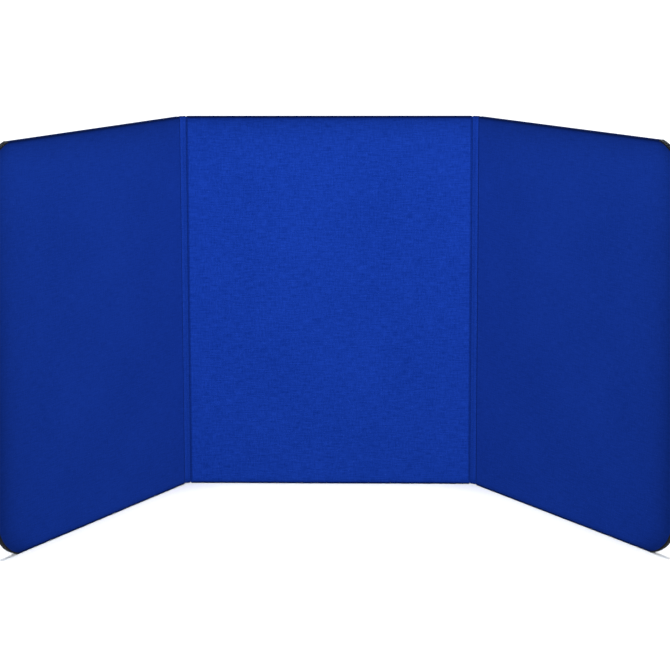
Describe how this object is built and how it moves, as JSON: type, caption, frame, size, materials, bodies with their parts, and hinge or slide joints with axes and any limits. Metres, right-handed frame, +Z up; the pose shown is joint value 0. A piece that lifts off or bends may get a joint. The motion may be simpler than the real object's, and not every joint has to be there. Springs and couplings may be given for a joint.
{
  "type": "folding display partition",
  "caption": "Free-standing fabric-covered display partition of equal boards joined by fabric hinges, its wings folded forward and their outer corners clipped round.",
  "frame": {"origin": "on the floor under the middle of the centre panel, at half its thickness", "axes": "+Z up, +X to the right along the centre panel, fronts and display faces towards -Y"},
  "size_m": [1.2343, 0.5159, 0.762],
  "materials": {
    "cover_fabric": "matt royal blue brushed loop fabric with a fine cross-thread weave",
    "hinge_fabric": "matt royal blue woven hinge fabric",
    "trim_plastic": "satin dark grey extruded plastic edge moulding",
    "frame_wood": "planed softwood",
    "core_board": "kraft paper core board",
    "staple_steel": "zinc-plated steel wire"
  },
  "bodies": {
    "center_panel": {"center_core": "core_board", "center_left_stile": "frame_wood", "center_right_stile": "frame_wood", "center_top_rail": "frame_wood", "center_bottom_rail": "frame_wood", "center_front_cover": "cover_fabric", "center_back_cover": "cover_fabric", "center_corner_staples": "staple_steel", "left_web_center_tab": "hinge_fabric", "right_web_center_tab": "hinge_fabric", "left_center_tab_staples": "staple_steel", "right_center_tab_staples": "staple_steel"},
    "left_hinge": {"left_web_strip": "hinge_fabric"},
    "left_wing": {"left_core": "core_board", "left_hinge_stile": "frame_wood", "left_outer_stile": "frame_wood", "left_top_rail": "frame_wood", "left_bottom_rail": "frame_wood", "left_top_corner_block": "frame_wood", "left_bottom_corner_block": "frame_wood", "left_front_cover": "cover_fabric", "left_back_cover": "cover_fabric", "left_edge_trim": "trim_plastic", "left_corner_staples": "staple_steel", "left_web_wing_tab": "hinge_fabric", "left_wing_tab_staples": "staple_steel"},
    "right_hinge": {"right_web_strip": "hinge_fabric"},
    "right_wing": {"right_core": "core_board", "right_hinge_stile": "frame_wood", "right_outer_stile": "frame_wood", "right_top_rail": "frame_wood", "right_bottom_rail": "frame_wood", "right_top_corner_block": "frame_wood", "right_bottom_corner_block": "frame_wood", "right_front_cover": "cover_fabric", "right_back_cover": "cover_fabric", "right_edge_trim": "trim_plastic", "right_corner_staples": "staple_steel", "right_web_wing_tab": "hinge_fabric", "right_wing_tab_staples": "staple_steel"}
  },
  "joints": [
    {"name": "left_inner_crease", "type": "hinge", "parent": "center_panel", "child": "left_hinge", "pos_m": [-0.2905, 0, 0], "axis": [0, 0, 1], "range_deg": [-75, 60]},
    {"name": "left_outer_crease", "type": "hinge", "parent": "left_hinge", "child": "left_wing", "pos_m": [-0.30176, -0.0065, 0], "axis": [0, 0, 1], "range_deg": [-75, 60]},
    {"name": "right_inner_crease", "type": "hinge", "parent": "center_panel", "child": "right_hinge", "pos_m": [0.2905, 0, 0], "axis": [0, 0, -1], "range_deg": [-117.5, 17.5]},
    {"name": "right_outer_crease", "type": "hinge", "parent": "right_hinge", "child": "right_wing", "pos_m": [0.30203, -0.006, 0], "axis": [0, 0, -1], "range_deg": [-117.5, 17.5]}
  ],
  "couplings": [
    {"joint": "left_outer_crease", "follows": "left_inner_crease", "ratio": 1},
    {"joint": "right_outer_crease", "follows": "right_inner_crease", "ratio": 1}
  ]
}
